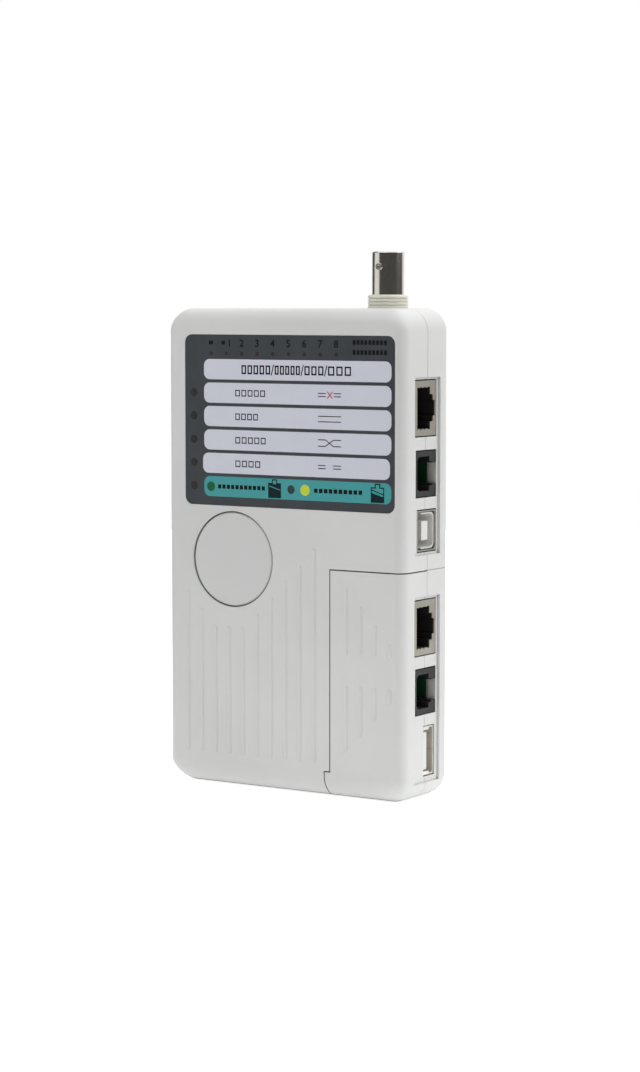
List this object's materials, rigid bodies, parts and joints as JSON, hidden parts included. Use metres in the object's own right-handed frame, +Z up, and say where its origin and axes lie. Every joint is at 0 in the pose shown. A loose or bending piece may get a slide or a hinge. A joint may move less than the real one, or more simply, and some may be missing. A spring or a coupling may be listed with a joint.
{
  "type": "network cable tester",
  "caption": "Flat hand-held cable tester: main unit with lamps, round test button, side jacks and a coaxial bayonet connector, and a remote unit that slides off its lower corner.",
  "frame": {"origin": "centre of the bottom of the bounding box, on the face the tester stands on", "axes": "+Z up the long side, towards the coaxial connector; the label and the button face -Y; the jacks face +X"},
  "size_m": [0.0848, 0.0276, 0.162],
  "materials": {
    "housing": "satin",
    "button": "satin",
    "label": "satin",
    "board": "satin",
    "black_plastic": "satin",
    "white_plastic": "satin",
    "grey_plastic": "satin",
    "cream_plastic": "satin",
    "red_lamp": "gloss",
    "green_lamp": "gloss",
    "nickel": "gloss",
    "tinned_steel": "satin",
    "plated_steel": "satin",
    "screw_steel": "satin",
    "gold_contact": "gloss",
    "battery_jacket": "satin",
    "red_lead": "satin",
    "black_lead": "satin"
  },
  "bodies": {
    "main_unit": {"front_shell": "housing", "rear_shell": "housing", "label_panel": "label", "display_board": "board", "switch_body": "black_plastic", "pin_leds": "red_lamp", "status_leds": "red_lamp", "battery_leds": "green_lamp", "main_board": "board", "header_socket": "black_plastic", "header_plug": "black_plastic", "header_pins": "gold_contact", "control_chip": "black_plastic", "coax_housing": "cream_plastic", "coax_barrel": "nickel", "coax_insulator": "white_plastic", "coax_contact": "gold_contact", "coax_pins": "plated_steel", "main_rj45_shield": "tinned_steel", "main_rj45_insert": "black_plastic", "main_rj45_contacts": "gold_contact", "main_rj11_housing": "grey_plastic", "main_rj11_contacts": "gold_contact", "usb_b_shell": "tinned_steel", "usb_b_insert": "white_plastic", "usb_b_contacts": "gold_contact", "battery": "battery_jacket", "battery_posts": "plated_steel", "battery_clip": "black_plastic", "clip_contacts": "plated_steel", "lead_positive": "red_lead", "lead_negative": "black_lead", "main_screws": "screw_steel", "board_screws": "screw_steel", "display_screws": "screw_steel"},
    "battery_door": {"battery_door": "housing"},
    "test_button": {"test_button": "button"},
    "switch_plunger": {"switch_plunger": "white_plastic"},
    "remote": {"remote_front_shell": "housing", "remote_rear_shell": "housing", "remote_board": "board", "remote_rj45_shield": "tinned_steel", "remote_rj45_insert": "black_plastic", "remote_rj45_contacts": "gold_contact", "remote_rj11_housing": "grey_plastic", "remote_rj11_contacts": "gold_contact", "usb_a_shell": "tinned_steel", "usb_a_insert": "white_plastic", "usb_a_contacts": "gold_contact", "remote_screws": "screw_steel"}
  },
  "joints": [
    {"name": "test_button_press", "type": "slide", "parent": "main_unit", "child": "test_button", "axis": [0, 1, 0], "range_m": [0, 0.0008], "stiffness_N_per_m": 800, "springref_m": -0.0012},
    {"name": "switch_plunger_press", "type": "slide", "parent": "main_unit", "child": "switch_plunger", "axis": [0, 1, 0], "range_m": [0, 0.0008]},
    {"name": "remote_slide", "type": "slide", "parent": "main_unit", "child": "remote", "axis": [0, 0, -1], "range_m": [0, 0.056]},
    {"name": "battery_door_slide", "type": "slide", "parent": "main_unit", "child": "battery_door", "axis": [0, 0, -1], "range_m": [0, 0.062]}
  ],
  "couplings": [
    {"joint": "switch_plunger_press", "follows": "test_button_press", "ratio": 1}
  ]
}
